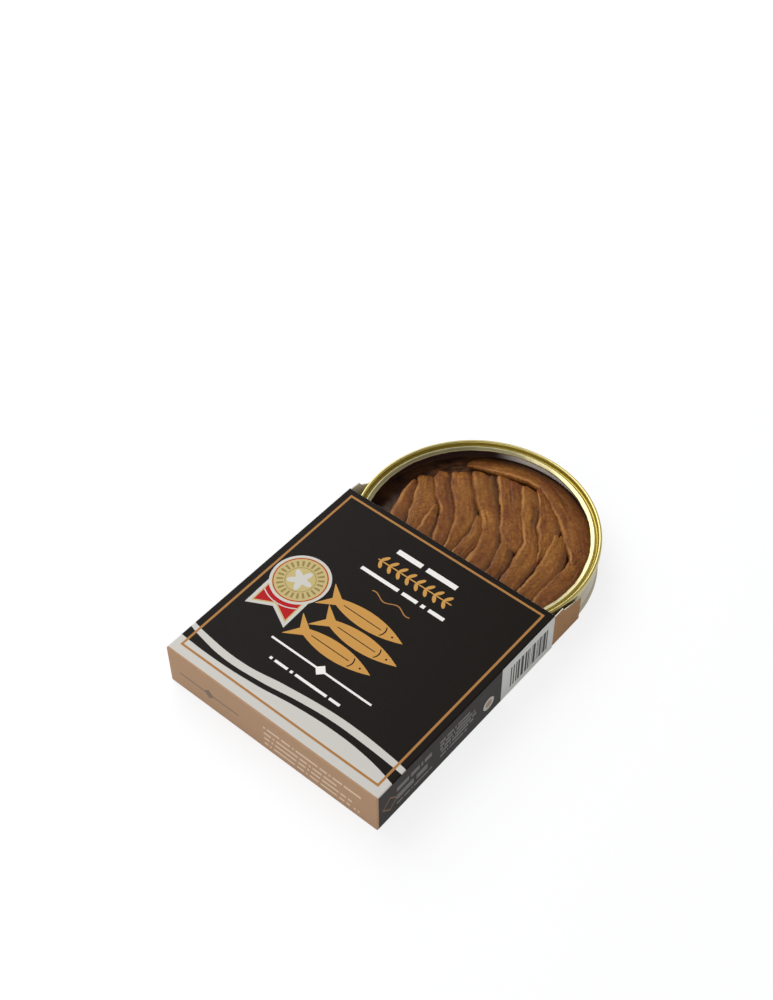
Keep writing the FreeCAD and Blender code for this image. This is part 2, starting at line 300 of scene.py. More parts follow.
def word_bars(finish, along, across, line):
    """Plain bars as long as words, where a label carries a line of print."""
    start, end, low, high, letter, seed = line
    cell = ((along - start) / letter).math("FLOOR")
    ink = finish.chance(cell + seed) > BARE_LETTERS
    last = start + round((end - start) / letter) * letter
    return along.between(start, last) * across.between(low, high) * ink


def rule_with_lozenge(along, across, half, size):
    """A thin rule with a lozenge on its middle, about the point along = across = 0."""
    rule = along.between(-half, half) * (abs(across) < RULE_HALF)
    return rule.math("MAXIMUM", (abs(along) + abs(across)) < size)


def sprig(x, y, length, height):
    """A slim twig with a pair of leaves every few millimetres.

    Its parts are shares of its height, and its leaves lean by a cosine and a sine."""
    half = length / 2
    pitch = height * 0.62
    cosine, sine = 0.82, 0.57
    leaf_out, leaf_wide, leaf_long = height * 0.24, height * 0.11, height * 0.27
    within = x.between(-half, half)
    stem = (abs(y) < height * 0.04) * within
    step = ((x + half) / pitch).math("FRACT") * pitch - pitch / 2
    rise = abs(y) - leaf_out
    lean_x = step * cosine - rise * sine
    lean_y = step * sine + rise * cosine
    leaf = ((lean_x / leaf_wide) ** 2.0 + (lean_y / leaf_long) ** 2.0) < 1.0
    return stem.math("MAXIMUM", leaf * within)


def little_fish(x, y, length, height):
    """A plain fish seen from the side, heading along +x, about the point x = y = 0.

    Its parts are shares of its half length and of its height."""
    half = length / 2
    ahead = x / half
    body = abs(y) < (1 - ahead * ahead) * (height / 2)
    body = body * (x > -half * 0.78)
    root, root_half, tail_slope = half * 0.62, height * 0.06, 0.62
    notch_start, notch_slope = half * 0.92, 1.6
    tail = x.between(-half * 1.12, -half * 0.6)
    tail = tail * (abs(y) < (-x - root) * tail_slope + root_half)
    tail = tail * (abs(y) > (-x - notch_start) * notch_slope)
    eye_at, eye_radius = half * 0.72, height * 0.055
    eye = ((x - eye_at) ** 2.0 + y * y) < eye_radius ** 2
    gill_at, gill_bow, thin = half * 0.52, 1.2 / height, height * 0.035
    gill = abs((x - gill_at) + y * y * gill_bow) < thin
    gill = gill * (abs(y) < height * 0.3)
    line = abs(y) < height * 0.025
    line = line * x.between(-half * 0.6, half * 0.42)
    return body.math("MAXIMUM", tail) * (1 - eye) * (1 - gill) * (1 - line)


def top_print(finish, x, across, out, colour):
    """The print of the top panel: black, a pale waved end, a frame, fish and a rosette."""
    width = SLEEVE_HIGH.x - SLEEVE_LOW.x
    deep = SLEEVE_HIGH.y - SLEEVE_LOW.y
    share = across / width
    edge, near, far = [WAVE_REACH * finish.curve(share, points)
                       for points in (PALE_EDGE, STRIPE_NEAR, STRIPE_FAR)]
    pale = (out < edge).math("MAXIMUM", out.between(near, far))
    colour = finish.mix(pale, colour, WHITE_INK)

    # A thin frame, set in from the closed end, the mouth and the sides.
    end_in, mouth_in, side_in, line = 4.5, 2.5, 3.2, 1.0
    inside = (out.between(end_in + line, deep - mouth_in - line)
              * across.between(side_in + line, width - side_in - line))
    outside = (out.between(end_in, deep - mouth_in)
               * across.between(side_in, width - side_in))
    colour = finish.mix(outside * (1 - inside), colour, COPPER_LINE)

    # Three slim fish, one above the other.
    fish_length, fish_height = 37.0, 8.2
    for shift, rise in ((-2.5, 39.5), (2.5, 49.0), (-2.5, 58.5)):
        fish = little_fish(x - shift, out - rise, fish_length, fish_height)
        colour = finish.mix(fish, colour, GOLD_INK)

    # A pale rule with a lozenge, and plain lines where a label carries its words.
    rule_at, rule_half, lozenge = 29.5, 25.0, 2.6
    rule = rule_with_lozenge(x, out - rule_at, rule_half, lozenge)
    colour = finish.mix(rule, colour, BRIGHT_INK)
    for words in TOP_LINES:
        colour = finish.mix(word_bars(finish, x, out, words), colour, BRIGHT_INK)
    sprig_at, sprig_length, sprig_height = 85.2, 37.0, 7.4
    twig = sprig(x, out - sprig_at, sprig_length, sprig_height)
    colour = finish.mix(twig, colour, GOLD_INK)
    flourish_at, flourish_half, thin, bends = 70.6, 10.0, 0.25, 0.55
    wave = (x * bends).math("SINE")
    flourish = (abs(out - flourish_at - wave) < thin) * x.between(-flourish_half, flourish_half)
    colour = finish.mix(flourish, colour, COPPER_LINE)
    rosette_x, rosette_at = -35.3, 57.3
    return rosette(finish, x - rosette_x, out - rosette_at, colour)


def rosette(finish, x, y, colour):
    """A prize rosette: a gold disc with a rayed rim over two red ribbon tails."""
    away = (x * x + y * y).math("SQRT")
    reach = -y
    lean = x - reach * 0.03
    tails_start, fork, slant = 6.0, 16.6, 0.52
    end = fork + abs(lean) * slant
    # The tails' pale edge, gilt edge and red cloth: half a width, and how much shorter.
    for half, shorter, ink in ((10.2, 0.0, WHITE_INK), (8.9, 1.5, MEDAL_INK),
                               (8.3, 2.2, RED_INK)):
        tails = (abs(lean) < half) * (reach > tails_start) * (reach < end - shorter)
        colour = finish.mix(tails, colour, ink)
    arc_radius, arc_half = 14.6, 0.25
    arc = abs(away - arc_radius) < arc_half
    colour = finish.mix(arc * tails, colour, WHITE_INK)
    for radius, ink in ((12.5, WHITE_INK), (11.4, MEDAL_INK)):
        colour = finish.mix(away < radius, colour, ink)
    red_radius, red_half = 10.9, 0.22
    colour = finish.mix(abs(away - red_radius) < red_half, colour, RED_INK)
    turn = y.math("ARCTAN2", x)
    ray_count, ray_start, ray_end = 24, 6.9, 9.6
    rays = ((turn * ray_count).math("SINE") > 0.2) * away.between(ray_start, ray_end)
    colour = finish.mix(rays, colour, RAY_INK)
    points, star_radius, star_depth, upright = 5, 4.0, 1.5, 1.57
    star = star_radius + star_depth * (turn * points + upright).math("SINE")
    colour = finish.mix(away < star, colour, WHITE_INK)
    ring_radius, ring_half = 6.2, 0.15
    return finish.mix(abs(away - ring_radius) < ring_half, colour, RAY_INK)


def wall_print(finish, out, up, colour):
    """The print of a side wall: small grey lines, a round seal and a bar field."""
    for words in WALL_LINES:
        colour = finish.mix(word_bars(finish, out, up, words), colour, GREY_INK)
    mark_out, mark_up, mark_size, mark_hollow = 7.2, 9.5, 4.4, 3.4
    from_mark = abs(out - mark_out) + abs(up - mark_up)
    mark = (from_mark < mark_size) * (1 - (from_mark < mark_hollow))
    colour = finish.mix(mark, colour, DULL_COPPER)
    seal_out, seal_up = 65.5, 7.7
    away = ((out - seal_out) ** 2.0 + (up - seal_up) ** 2.0).math("SQRT")
    for radius, ink in ((3.3, SEAL_RIM), (1.9, SEAL_MIDDLE)):
        colour = finish.mix(away < radius, colour, ink)
    panel_start = 73.4
    colour = finish.mix(out > panel_start, colour, PANEL_INK)
    thinnest, seed, bare = 0.42, 3, 0.47
    bars = finish.chance((out / thinnest).math("FLOOR") + seed) > bare
    bars = bars * out.between(79.0, 103.0) * up.between(4.0, 16.4)
    return finish.mix(bars, colour, BAR_INK)


def end_print(finish, across, up, colour):
    """The print of the closed end: a plain rule and four fine pale lines."""
    rule_middle, rule_up, rule_half, lozenge = 21.5, 9.4, 15.5, 2.8
    rule = rule_with_lozenge(across - rule_middle, up - rule_up, rule_half, lozenge)
    colour = finish.mix(rule, colour, DULL_RULE)
    for words in END_LINES:
        colour = finish.mix(word_bars(finish, across, up, words), colour, SMALL_PRINT)
    return colour


def printed_board():
    """Coated boxboard of the sleeve, printed outside, raw inside and white where cut."""
    finish = Finish("printed_sleeve_board")
    where, x, y, z = finish.place()
    across = x - SLEEVE_LOW.x
    out = y - SLEEVE_LOW.y
    up = z - SLEEVE_LOW.z
    # A face is an outside one where it lies this near to the sleeve's box.
    skin, end_skin = 0.3, 0.9
    top = z > SLEEVE_HIGH.z - skin
    bottom = z < SLEEVE_LOW.z + skin
    right = x > SLEEVE_HIGH.x - skin
    left = x < SLEEVE_LOW.x + skin
    outside = (top + bottom + right + left + (out < skin)) > 0.5

    speckle = finish.noise(where, 0.9, 3.0)
    dark = finish.mix(speckle, BLACK_INK, shade(27, 22, 18))
    colour = top_print(finish, x, across, out, dark)
    charcoal = finish.mix(speckle, CHARCOAL_INK, shade(54, 51, 48))
    sides = wall_print(finish, out, up, charcoal)
    colour = finish.mix((right + left) * (1 - top), colour, sides)
    colour = finish.mix(bottom, colour, dark)
    copper = finish.mix(speckle, COPPER_INK, shade(180, 143, 110))
    colour = finish.mix(out < end_skin, colour, end_print(finish, across, up, copper))
    fibre = finish.noise(where, 0.6, 4.0, 0.6)
    raw = finish.mix(fibre, RAW_BOARD, shade(160, 150, 137))
    colour = finish.mix(outside, raw, colour)
    colour = finish.mix(y > SLEEVE_HIGH.y - 0.01, colour, CUT_BOARD)

    # The coating is glossier and smoother than the raw board.
    gloss = 0.42 + 0.10 * finish.noise(where, 0.15, 2.0)
    raw_rough, coated_relief = 0.8, 0.35
    rough = gloss * outside + (1 - outside) * raw_rough
    relief = finish.noise(where, 1.2, 3.0)
    relief = relief * (coated_relief + (1 - coated_relief) * (1 - outside))
    return finish.surface(colour, rough, specular_ior_level=0.06,
                          normal=finish.bump(relief, 0.02))


def flap_board(name, slope, start_x, start_y, side):
    """Board of a dust flap: copper outside, raw inside, white where it is cut. The raw face is
    painted paler than the sleeve's raw board, as painted light.

    The outer face passes through the start and leans by the slope. The side is the way
    from it into the board, +1 or -1 along x."""
    finish = Finish(name)
    where, x, y, _ = finish.place()
    depth = (x - start_x - (y - start_y) * slope) * side
    outside = depth < BOARD * 0.35
    core = depth.between(BOARD * 0.12, BOARD * 0.88)
    speckle = finish.noise(where, 0.5, 3.0)
    copper = finish.mix(speckle, shade(178, 135, 92), shade(164, 122, 82))
    # The raw face is painted much paler than the sleeve's raw board, as painted light on a face
    # that lies in shade.
    raw = finish.mix(speckle, shade(238, 228, 206), shade(222, 211, 188))
    colour = finish.mix(outside, raw, copper)
    colour = finish.mix(core, colour, CUT_BOARD)
    rough = 0.55 + 0.15 * speckle
    relief = finish.bump(finish.noise(where, 1.4, 3.0), 0.02)
    return finish.surface(colour, rough, specular_ior_level=0.1, normal=relief)


def from_axis(x, y):
    """Millimetres from the tin's upright axis."""
    return ((x - TIN.x) ** 2.0 + (y - TIN.y) ** 2.0).math("SQRT")


def gold_lacquer():
    """Tinplate of the ring under clear gold lacquer, with painted shade in its groove."""
    finish = Finish("gold_lacquer")
    where, x, y, _ = finish.place()
    cloud = finish.noise(where, 0.08, 3.0)
    outward = from_axis(x, y) - SEAM_RADIUS
    # The groove is painted darker and more olive, as painted shade in the recess; the torn lip
    # is paler.
    bead, groove, lip = shade(184, 171, 112), shade(166, 151, 78), shade(176, 168, 130)
    colour = finish.mix(outward.soft(-0.9, -1.5), bead, groove)
    colour = finish.mix(outward.soft(-2.3, -2.8), colour, lip)
    colour = finish.mix(cloud * 0.3, colour, shade(150, 136, 78))
    wear = finish.noise(where, 0.2, 3.0, 0.6)
    return finish.surface(colour, 0.27 + 0.08 * wear, metallic=1.0)


def can_lacquer():
    """The can: champagne tinplate outside, pale enamel inside, with painted shade on most of
    its inner wall.
    """
    finish = Finish("can_lacquer")
    where, x, y, z = finish.place()
    wall_middle, above_bottom = SEAM_RADIUS - 0.95, TIN.z + 1.0
    inside = (from_axis(x, y) < wall_middle) * (z > above_bottom)
    cloud = finish.noise(where, 0.08, 3.0)
    tin_plate = finish.mix(cloud, shade(156, 148, 126), shade(148, 139, 115))
    # The enamel is painted dark as painted shade, but for one stretch of the wall, which lies
    # this way and is painted pale as lit wall.
    lit_x, lit_y = 0.26, 0.97
    facing = ((x - TIN.x) * lit_x + (y - TIN.y) * lit_y) / SEAM_RADIUS
    lit_stretch = (facing + 0.06 * cloud).soft(0.74, 0.92)
    painted_shade_enamel = finish.mix(cloud, shade(66, 46, 42), shade(50, 34, 30))
    enamel = finish.mix(lit_stretch, painted_shade_enamel, shade(244, 232, 224))
    colour = finish.mix(inside, tin_plate, enamel)
    wear = finish.noise(where, 0.5, 3.0, 0.6)
    relief = finish.bump(finish.noise(where, 0.12, 1.0), 0.04)
    return finish.surface(colour, 0.26 + 0.10 * wear, metallic=1.0 - inside, normal=relief)


def fish_flesh():
    """Cured anchovy: brown, with fibres along it, a painted highlight on its ridges and painted
    shade in its creases.
    """
    finish = Finish("cured_fish_flesh")
    where, x, y, _ = finish.place()
    along, across = finish.laid()
    crease = finish.painted("crease")
    tint = finish.painted("tint")
    fibre = finish.noise(finish.joined(along * 0.10, across * 0.95, 0.0), 1.0, 4.0, 0.6)
    streak = finish.noise(finish.joined(along * 0.04, across * 0.22, 2.0), 1.0, 2.0)
    patch = finish.noise(where, 0.10, 3.0)
    fleck = finish.noise(where, 0.6, 4.0, 0.65)
    tone = 0.32 * fibre + 0.32 * streak + 0.36 * fleck + 0.02 * tint
    colour = finish.ramp(tone, (0.34, shade(86, 43, 16)), (0.45, shade(121, 71, 27)),
                         (0.54, shade(144, 90, 36)), (0.66, shade(184, 128, 58)))
    # Golden and red patches, and redder flesh at the sleeve's mouth.
    lean = patch + 0.05 * tint
    colour = finish.mix(lean.soft(0.46, 0.66) * 0.3, colour, shade(142, 97, 38))
    colour = finish.mix(lean.soft(0.46, 0.28) * 0.5, colour, shade(110, 54, 26))
    at_mouth = (y - TIN.y).soft(14.0, -12.0)
    colour = finish.mix(at_mouth * 0.3, colour, shade(104, 54, 28))
    # The flesh is darker beside the wall.
    by_wall = from_axis(x, y).soft(39.0, 48.0)
    colour = finish.mix(by_wall * 0.45, colour, shade(92, 50, 26))
    # A painted highlight along the ridges, and painted shade in the creases, at the sunken ends
    # and in hollows.
    painted_highlight = crease.soft(-0.1, -0.75)
    colour = finish.mix(painted_highlight * 0.6, colour, shade(190, 134, 70))
    colour = finish.mix(crease.soft(0.12, 0.95) * 0.92, colour, shade(46, 22, 12))
    rough = 0.42 + 0.25 * fibre
    relief = 0.35 * fibre + 0.65 * fleck
    return finish.surface(colour, rough, specular_ior_level=0.18, coat_weight=0.05,
                          coat_roughness=0.25, normal=finish.bump(relief, 0.4))


def dark_oil():
    """Olive oil over packed fish, brown and nearly still."""
    finish = Finish("dark_oil")
    where, _, _, z = finish.place()
    cloud = finish.noise(where, 0.13, 4.0, 0.6)
    under = finish.noise(where, 0.3, 3.0)
    colour = finish.mix(cloud.soft(0.35, 0.7), shade(48, 31, 24), shade(80, 52, 32))
    colour = finish.mix(under.soft(0.6, 0.75) * 0.4, colour, shade(96, 60, 32))
    # Scraps of flesh stand out of it.
    scrap = (z - TIN.z - OIL_TOP).soft(0.12, 0.5)
    flesh = finish.mix(under.soft(0.35, 0.65), shade(66, 40, 30), shade(104, 64, 38))
    colour = finish.mix(scrap * 0.9, colour, flesh)
    rough = 0.24 + 0.1 * cloud + 0.3 * scrap
    return finish.surface(colour, rough, specular_ior_level=0.12)


# ---------------------------------------------------------------- making pieces

SPIN_STEPS = 360
ARC_STEPS = 6
MERGE_WITHIN = 0.002

# The fillets' mesh and shape, in millimetres.
ALONG_STEP, ACROSS_STEP, EXTRA_COLUMNS = 0.36, 0.34, 10
SMOOTHINGS = 140            # how often a side's line is smoothed
SIDE_DEPTH = 0.9            # how far the sides go down into the oil
SKIRT_DEPTH = 0.6           # how much further the closed underside lies
RAISED_SIDE = 0.9           # width over which the raised side climbs
COVERED_SIDE = 1.1          # width over which the covered side falls
TUCK = 2.3                  # how far a fillet goes under its neighbour
CREST_SPARE = 0.35          # how far a crest may lie above the top read from the frame
END_SHARE = 0.12            # share of the crest's height that the sunken ends keep
NEAR_SINK = 3.0             # length over which the near end sinks
GROOVE_WIDE = 0.7
# The fillets' painted shade at their sides, and the painted highlight along their ridge:
CREASE_SHADE, EDGE_SHADE = 4.2, 0.5     # width of the dark at the covered and raised sides
HIGHLIGHT_AT, HIGHLIGHT_WIDE = 1.2, 0.7         # where the pale ridge runs from the raised side

# Layers of a fillet's relief: depth in millimetres, ripples a millimetre along and across
# it, and what is added to its seed.
RELIEF_LAYERS = (
    (0.26, 0.08, 0.16, 20),                             # slow swells
    (0.15, 0.05, 0.42, 30), (0.06, 0.12, 1.3, 33),      # fibres
    (0.13, 0.42, 0.5, 40), (0.06, 1.1, 1.2, 43),        # lumps
)


def start_fresh():
    """Leave edit mode with nothing selected."""
    if bpy.context.object and bpy.context.object.mode != "OBJECT":
        bpy.ops.object.mode_set(mode="OBJECT")
    bpy.ops.object.select_all(action="DESELECT")


def named(name, material):
    """Name the piece just made, and give it its material."""
    piece = bpy.context.object
    piece.name = name
    piece.data.name = name
    piece.data.materials.clear()
    piece.data.materials.append(material)
    return piece


def moved(piece, where):
    """Put a mesh's points, an array in millimetres, where they belong."""
    piece.data.vertices.foreach_set("co", (where * MM).ravel())
    piece.data.update()


def points_of(piece):
    """A mesh's points as it holds them, one to a row."""
    where = np.empty(len(piece.data.vertices) * 3)
    piece.data.vertices.foreach_get("co", where)
    return where.reshape(-1, 3)


def about_axis(piece):
    """A mesh's points in millimetres, then their offset, radius and turn from the axis."""
    where = points_of(piece) / MM
    out = where - np.array((TIN.x, TIN.y, 0.0))
    return where, out, np.hypot(out[:, 0], out[:, 1]), np.arctan2(out[:, 1], out[:, 0])


def edit(piece):
    """Enter edit mode with all of a piece selected."""
    bpy.context.view_layer.objects.active = piece
    bpy.ops.object.mode_set(mode="EDIT")
    bpy.ops.mesh.select_all(action="SELECT")


def rounded_outline(corners):
    """A closed outline of (radius, height, rounding) corners, with its corners as arcs."""
    outline = []
    count = len(corners)
    for i, (radius, height, round_by) in enumerate(corners):
        here = np.array((radius, height))
        if round_by <= 0:
            outline.append(here)
            continue
        before = np.array(corners[i - 1][:2]) - here
        after = np.array(corners[(i + 1) % count][:2]) - here
        start = here + before / np.linalg.norm(before) * round_by
        end = here + after / np.linalg.norm(after) * round_by
        for step in range(ARC_STEPS + 1):
            share = step / ARC_STEPS
            first = start + (here - start) * share
            second = here + (end - here) * share
            outline.append(first + (second - first) * share)
    return outline


def turned_piece(name, corners, material):
    """Spin a closed outline round the tin's axis."""
    outline = rounded_outline(corners)
    start_fresh()
    bpy.ops.mesh.primitive_circle_add(vertices=len(outline), radius=1.0)
    piece = named(name, material)
    where = np.array([(TIN.x + radius, TIN.y, TIN.z + height) for radius, height in outline])
    moved(piece, where)
    edit(piece)
    middle = (TIN.x * MM, TIN.y * MM, 0)
    bpy.ops.mesh.spin(steps=SPIN_STEPS, angle=2 * math.pi, center=middle, axis=(0, 0, 1))
    bpy.ops.mesh.select_all(action="SELECT")
    bpy.ops.mesh.remove_doubles(threshold=MERGE_WITHIN * MM)
    bpy.ops.mesh.normals_make_consistent(inside=False)
    bpy.ops.object.mode_set(mode="OBJECT")
    bpy.ops.object.shade_smooth_by_angle(angle=math.radians(50))
    return piece


def line_through(points, count):
    """Evenly spaced points along a smooth line near the given ones."""
    points = np.array(points, float)
    reach = np.concatenate(([0], np.cumsum(np.linalg.norm(np.diff(points, axis=0), axis=1))))
    shares = np.linspace(0, reach[-1], count)
    line = np.stack([np.interp(shares, reach, points[:, k]) for k in (0, 1)], 1)
    for _ in range(SMOOTHINGS):
        line[1:-1] = (line[:-2] + 2 * line[1:-1] + line[2:]) / 4
    return line


def along_line(line, share):
    """Points at shares of the way along a line of evenly spaced points."""
    shares = np.linspace(0, 1, len(line))
    return np.stack([np.interp(share, shares, line[:, k]) for k in (0, 1)], 1)


def ripple(x, y, z=0.0):
    """Fixed smooth noise from -1 to 1 at each of many places."""
    return np.array([noise.noise(Vector((a, b, z))) for a, b in zip(x, y)])


def held(value):
    """The value, held between 0 and 1."""
    return np.clip(value, 0, 1)


def rounded(share):
    """The height of a quarter circle, from 0 to 1, at a share of its width."""
    return np.sqrt(held(1 - (1 - share) ** 2))


def flat_shares(piece, width, seed):
    """How far along (s) and across (t) a fillet each point of its flat grid lies."""
    flat = points_of(piece)
    s = flat[:, 0] + 0.5
    t = flat[:, 1] + 0.5
    # Points crowd towards both sides, where the surface turns down.
    t = 0.5 - 0.5 * np.cos(np.pi * t) * (1 - 0.35 * (1 - (2 * t - 1) ** 2))
    # The far end is ragged.
    s *= 1 - 0.05 * s ** 2 * (0.5 + ripple(t * width * 0.6, 0 * t, seed + 90))
    return s, t


def fillet_plan(sides, count, s, t, u, full, seed):
    """Where a fillet's points lie in plan, from the tin's centre."""
    raised, covered = [along_line(line_through(side, count), s) for side in sides]
    jag = 0.7 * ripple(u * 0.2, 0 * u, seed) + 0.3 * ripple(u * 0.7, 0 * u, seed + 3)
    sway = 0.6 * ripple(u * 0.07, 0 * u, seed + 9)
    spread = 0.5 + (t - 0.5) * full
    across = covered - raised
    size = np.linalg.norm(across, axis=1, keepdims=True)
    across = across / np.maximum(size, 1e-6)
    place = raised + across * (size + TUCK) * spread[:, None]
    place += across * (jag * (1 - t) ** 2 + sway)[:, None]
    return place


def fillet_relief(t, u, v, width, ribs, seed):
    """The relief of a fillet's back, and the mark of the groove along its middle."""
    relief = sum(depth * ripple(u * along, v * across, seed + more)
                 for depth, along, across, more in RELIEF_LAYERS)
    # Ribs run out from the backbone in chevrons, here and there.
    bone = u + np.abs(t - 0.55) * width * 0.9 + 1.1 * ripple(u * 0.3, v * 0.3, seed + 45)
    chevron = 0.5 + 0.5 * np.sin(bone * 3.3)
    patch = held(0.4 + 1.6 * ripple(u * 0.06, v * 0.1, seed + 50))
    middle = 0.5 + 0.16 * ripple(u * 0.05, 0 * u, seed + 60)
    groove = np.exp(-((v - middle * width) / GROOVE_WIDE) ** 2)
    groove *= held(0.3 + 1.6 * ripple(u * 0.05, 0 * u, seed + 70))
    return relief - ribs * 0.24 * chevron * patch - 0.16 * groove, groove


def mark_fillet(piece, u, v, dark, tint):
    """Give a fillet its map in millimetres, and the values that colour it: its painted shade
    and highlight, and its tint.
    """
    grid = np.column_stack((u * MM, v * MM))
    corner = np.empty(len(piece.data.loops), int)
    piece.data.loops.foreach_get("vertex_index", corner)
    piece.data.uv_layers[0].data.foreach_set("uv", grid[corner].ravel())
    for name, values in (("crease", dark), ("tint", np.full(len(dark), tint))):
        mark = piece.data.attributes.new(name, "FLOAT", "POINT")
        mark.data.foreach_set("value", values)


def close_underside(piece, middle_face):
    """Close a fillet below the oil, with the face in the middle of its back looking up."""
    edit(piece)
    bpy.ops.mesh.select_all(action="DESELECT")
    bpy.ops.mesh.select_mode(type="EDGE")
    bpy.ops.mesh.select_non_manifold()
    down = (0, 0, -SKIRT_DEPTH * MM)
    bpy.ops.mesh.extrude_region_move(TRANSFORM_OT_translate={"value": down})
    bpy.ops.mesh.edge_face_add()
    bpy.ops.mesh.select_all(action="SELECT")
    bpy.ops.mesh.normals_make_consistent(inside=False)
    bpy.ops.object.mode_set(mode="OBJECT")
    if piece.data.polygons[middle_face].normal.z < 0:
        piece.data.flip_normals()
    bpy.ops.object.shade_smooth_by_angle(angle=math.radians(70))


def fillet(name, raised, covered, material, node, tall, ribs, seed,
           blunt=(4.0, 2.2), sink=1.5, fall=0.38):
    """One anchovy fillet between its raised side and the side its neighbour covers.

    Both sides are (x, y) points from the tin's centre, listed the same way along. Its crest
    is as tall as a share of the full height, and it falls by a share to the covered side.
    Its near and far ends are rounded over the blunt lengths, and the far one sinks."""
    length = np.linalg.norm(np.diff(np.array(raised, float), axis=0), axis=1).sum()
    width = np.linalg.norm(np.array(raised[len(raised) // 2]) - covered[len(covered) // 2])
    rows = int(length / ALONG_STEP)
    columns = int(width / ACROSS_STEP) + EXTRA_COLUMNS
    start_fresh()
    bpy.ops.mesh.primitive_grid_add(x_subdivisions=rows, y_subdivisions=columns, size=1.0)
    piece = named(name, material)
    s, t = flat_shares(piece, width, seed)
    u = s * length
    v = t * width
    near_end = held(s * length / blunt[0])
    far_end = held((1 - s) * length / blunt[1])
    full = ((1 - (1 - near_end) ** 3) * (1 - (1 - far_end) ** 3)) ** (1 / 3)
    full = 0.02 + 0.98 * full
    place = fillet_plan((raised, covered), rows * 2 + 1, s, t, u, full, seed)

    # Height: a steep raised side, a crest near it, then a long fall to the covered side.
    slant = 1 - fall * held((t - 0.15) / 0.85) ** 1.3
    dome = rounded(held(v / RAISED_SIDE)) * slant * rounded(held((width - v) / COVERED_SIDE))
    crest = (FISH_TOP - OIL_TOP + CREST_SPARE) * tall
    relief, groove = fillet_relief(t, u, v, width, ribs, seed)
    ends = rounded(held(s * length / NEAR_SINK) * held((1 - s) * length / sink))
    risen = SIDE_DEPTH + crest * (END_SHARE + (1 - END_SHARE) * ends)
    height = OIL_TOP - SIDE_DEPTH + risen * dome * full ** 0.5
    height += relief * dome
    # Nothing passes through the can's wall.
    over = np.maximum(np.hypot(place[:, 0], place[:, 1]) / BED_RADIUS, 1.0)
    moved(piece, np.column_stack((TIN.x + place[:, 0] / over, TIN.y + place[:, 1] / over,
                                  TIN.z + height)))

    # Painted shade lies above 0: in the creases, at the sunken ends, along the groove and in
    # hollows. A painted highlight along the ridge lies below 0.
    dark = held(1 - (width - v) / CREASE_SHADE) ** 1.2 + held(1 - v / EDGE_SHADE)
    dark += (1 - ends) * 0.8 + 0.3 * groove - np.minimum(relief, 0) * 0.8
    pale = np.exp(-((v - HIGHLIGHT_AT) / HIGHLIGHT_WIDE) ** 2)
    pale *= held(0.5 + ripple(u * 0.12, 0 * u, seed + 80))
    mark_fillet(piece, u, v, np.clip(dark - pale, -1, 1), math.sin(seed * 5.3))
    close_underside(piece, rows * columns // 2)
    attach(piece, "pack")
    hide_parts(node)


# ---------------------------------------------------------------- camera and light

# Where the camera stands, in metres, the way it looks, its roll in degrees and its lens.
CAMERA_PLACE = (0.24655, -0.30875, 0.50303)
CAMERA_AIM = (-0.43506, 0.51124, -0.74119)
CAMERA_ROLL = -0.55
CAMERA_LENS = 56.73

FLOOR_SIZE = 6.0
FLOOR_TONE = (0.85, 0.86, 0.89, 1)
FLOOR_GLOW = 0.73           # share of the floor's own light in what is seen of it
GLOW_FADE = (250, 900)      # millimetres from the middle, over which it is all its own
ROOM_LIGHT = 0.36           # the room's light on the object
CEILING_SHADE = 0.78        # how much darker the ceiling is in reflections
LAMP_SIZE = 0.8


def camera():
    """The camera above the closed end's right corner."""
    eye = bpy.data.cameras.new("camera")
    eye.lens = CAMERA_LENS
    eye.sensor_width = 36.0
    stand = bpy.data.objects.new("camera", eye)
    bpy.context.scene.collection.objects.link(stand)
    stand.location = CAMERA_PLACE
    roll = Quaternion((0, 0, 1), math.radians(CAMERA_ROLL))
    stand.rotation_mode = "QUATERNION"
    stand.rotation_quaternion = Vector(CAMERA_AIM).to_track_quat("-Z", "Y") @ roll
    bpy.context.scene.camera = stand


def lamp(name, place, power):
    """A soft square lamp that faces the middle of the object."""
    light = bpy.data.lights.new(name, "AREA")
    light.size = LAMP_SIZE
    light.energy = power
    stand = bpy.data.objects.new(name, light)
    bpy.context.scene.collection.objects.link(stand)
    stand.location = place
    stand.rotation_euler = (-Vector(place)).to_track_quat("-Z", "Y").to_euler()


